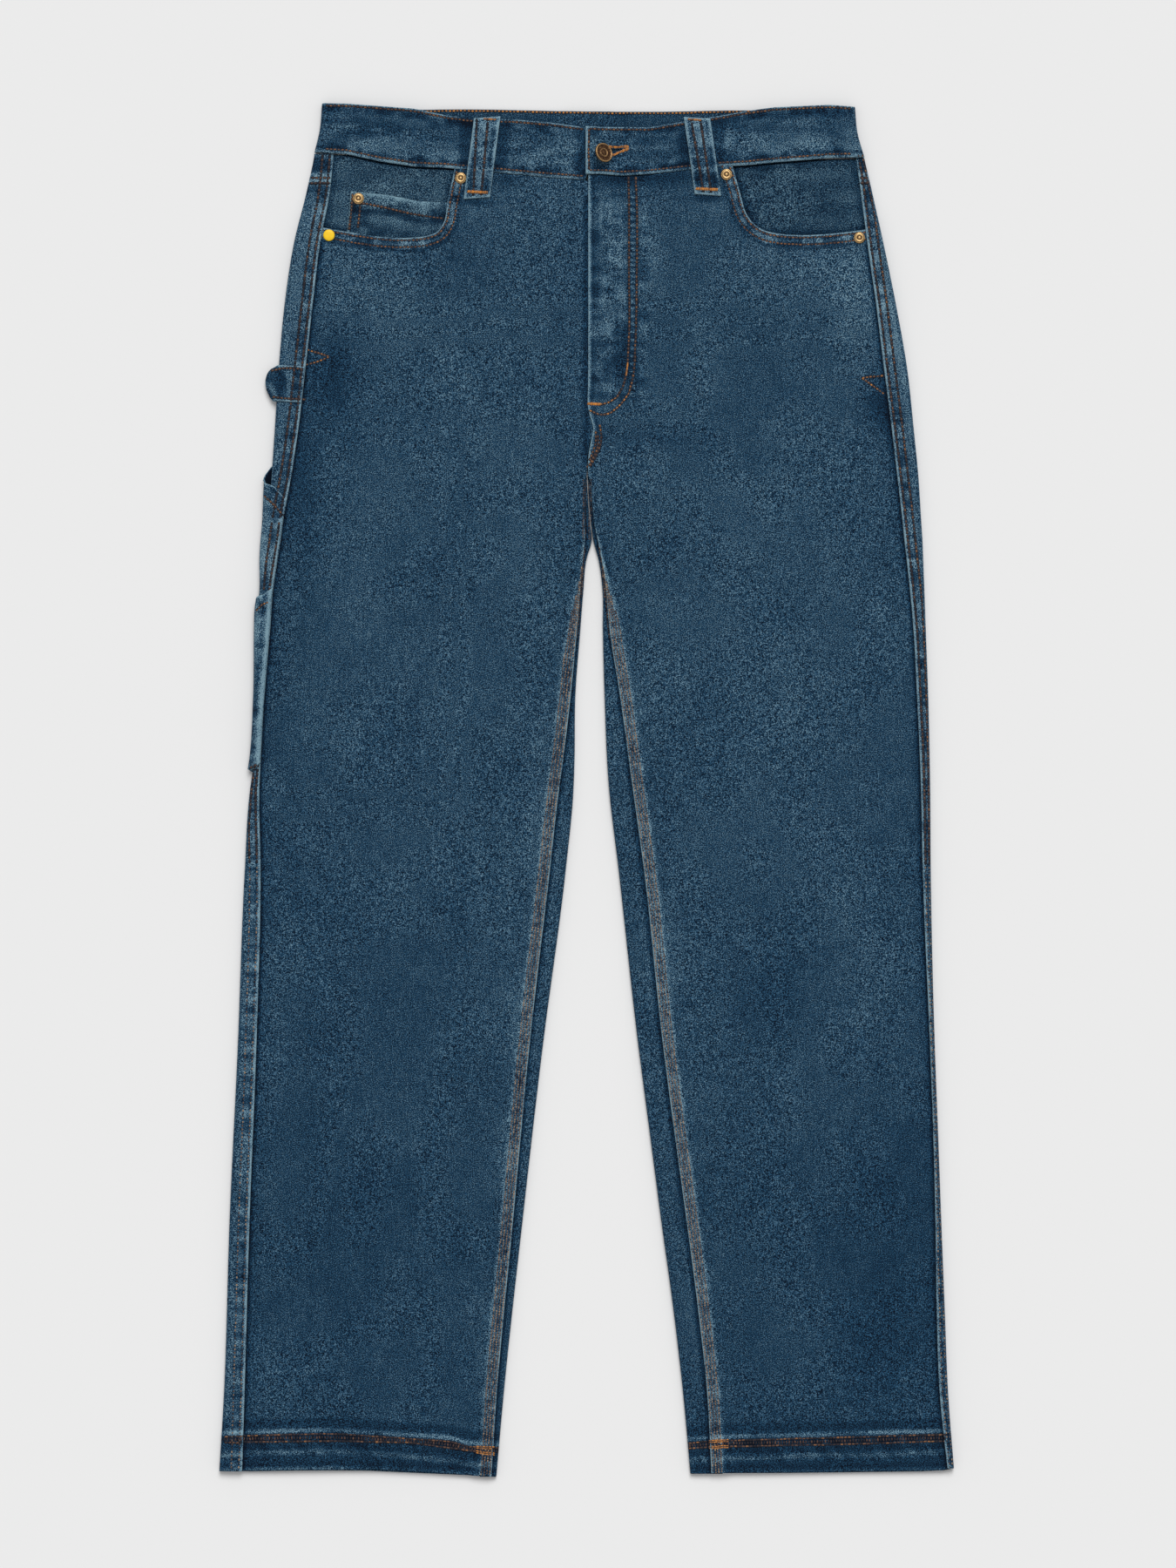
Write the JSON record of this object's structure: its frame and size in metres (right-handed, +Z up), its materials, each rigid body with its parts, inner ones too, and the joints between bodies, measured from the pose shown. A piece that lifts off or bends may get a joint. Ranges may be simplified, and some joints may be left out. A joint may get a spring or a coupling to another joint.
{
  "type": "carpenter_pants",
  "caption": "Blue stretch-denim carpenter pants laid flat, front up, with slanted pocket mouths, a coin pocket, a button, belt loops, a hammer loop and tool pockets on the right leg",
  "frame": {"origin": "the middle of the garment's footprint on the floor it lies on", "axes": "+Y from the hems to the waist, +X towards the wearer's left leg, +Z up from the floor"},
  "size_m": [0.582, 1.0869, 0.0176],
  "materials": {
    "denim": "matte",
    "denim_facing": "matte",
    "antique_brass": "satin",
    "yellow_brass": "satin"
  },
  "bodies": {
    "root": {"front_panel_right": "denim", "front_panel_left": "denim", "back_panel_right": "denim", "back_panel_left": "denim", "back_yoke_right": "denim", "back_yoke_left": "denim", "waistband": "denim", "pocket_facing_right": "denim_facing", "pocket_facing_left": "denim_facing", "coin_pocket": "denim", "belt_loop_front_right": "denim", "belt_loop_front_left": "denim", "belt_loop_back_right": "denim", "belt_loop_back_centre": "denim", "belt_loop_back_left": "denim", "hammer_loop": "denim", "tool_pocket_upper": "denim", "tool_pocket_lower": "denim", "rivet_pocket_right_upper": "antique_brass", "rivet_pocket_right_lower": "yellow_brass", "rivet_coin_pocket": "antique_brass", "rivet_pocket_left_upper": "antique_brass", "rivet_pocket_left_lower": "antique_brass", "button": "antique_brass"}
  },
  "joints": []
}
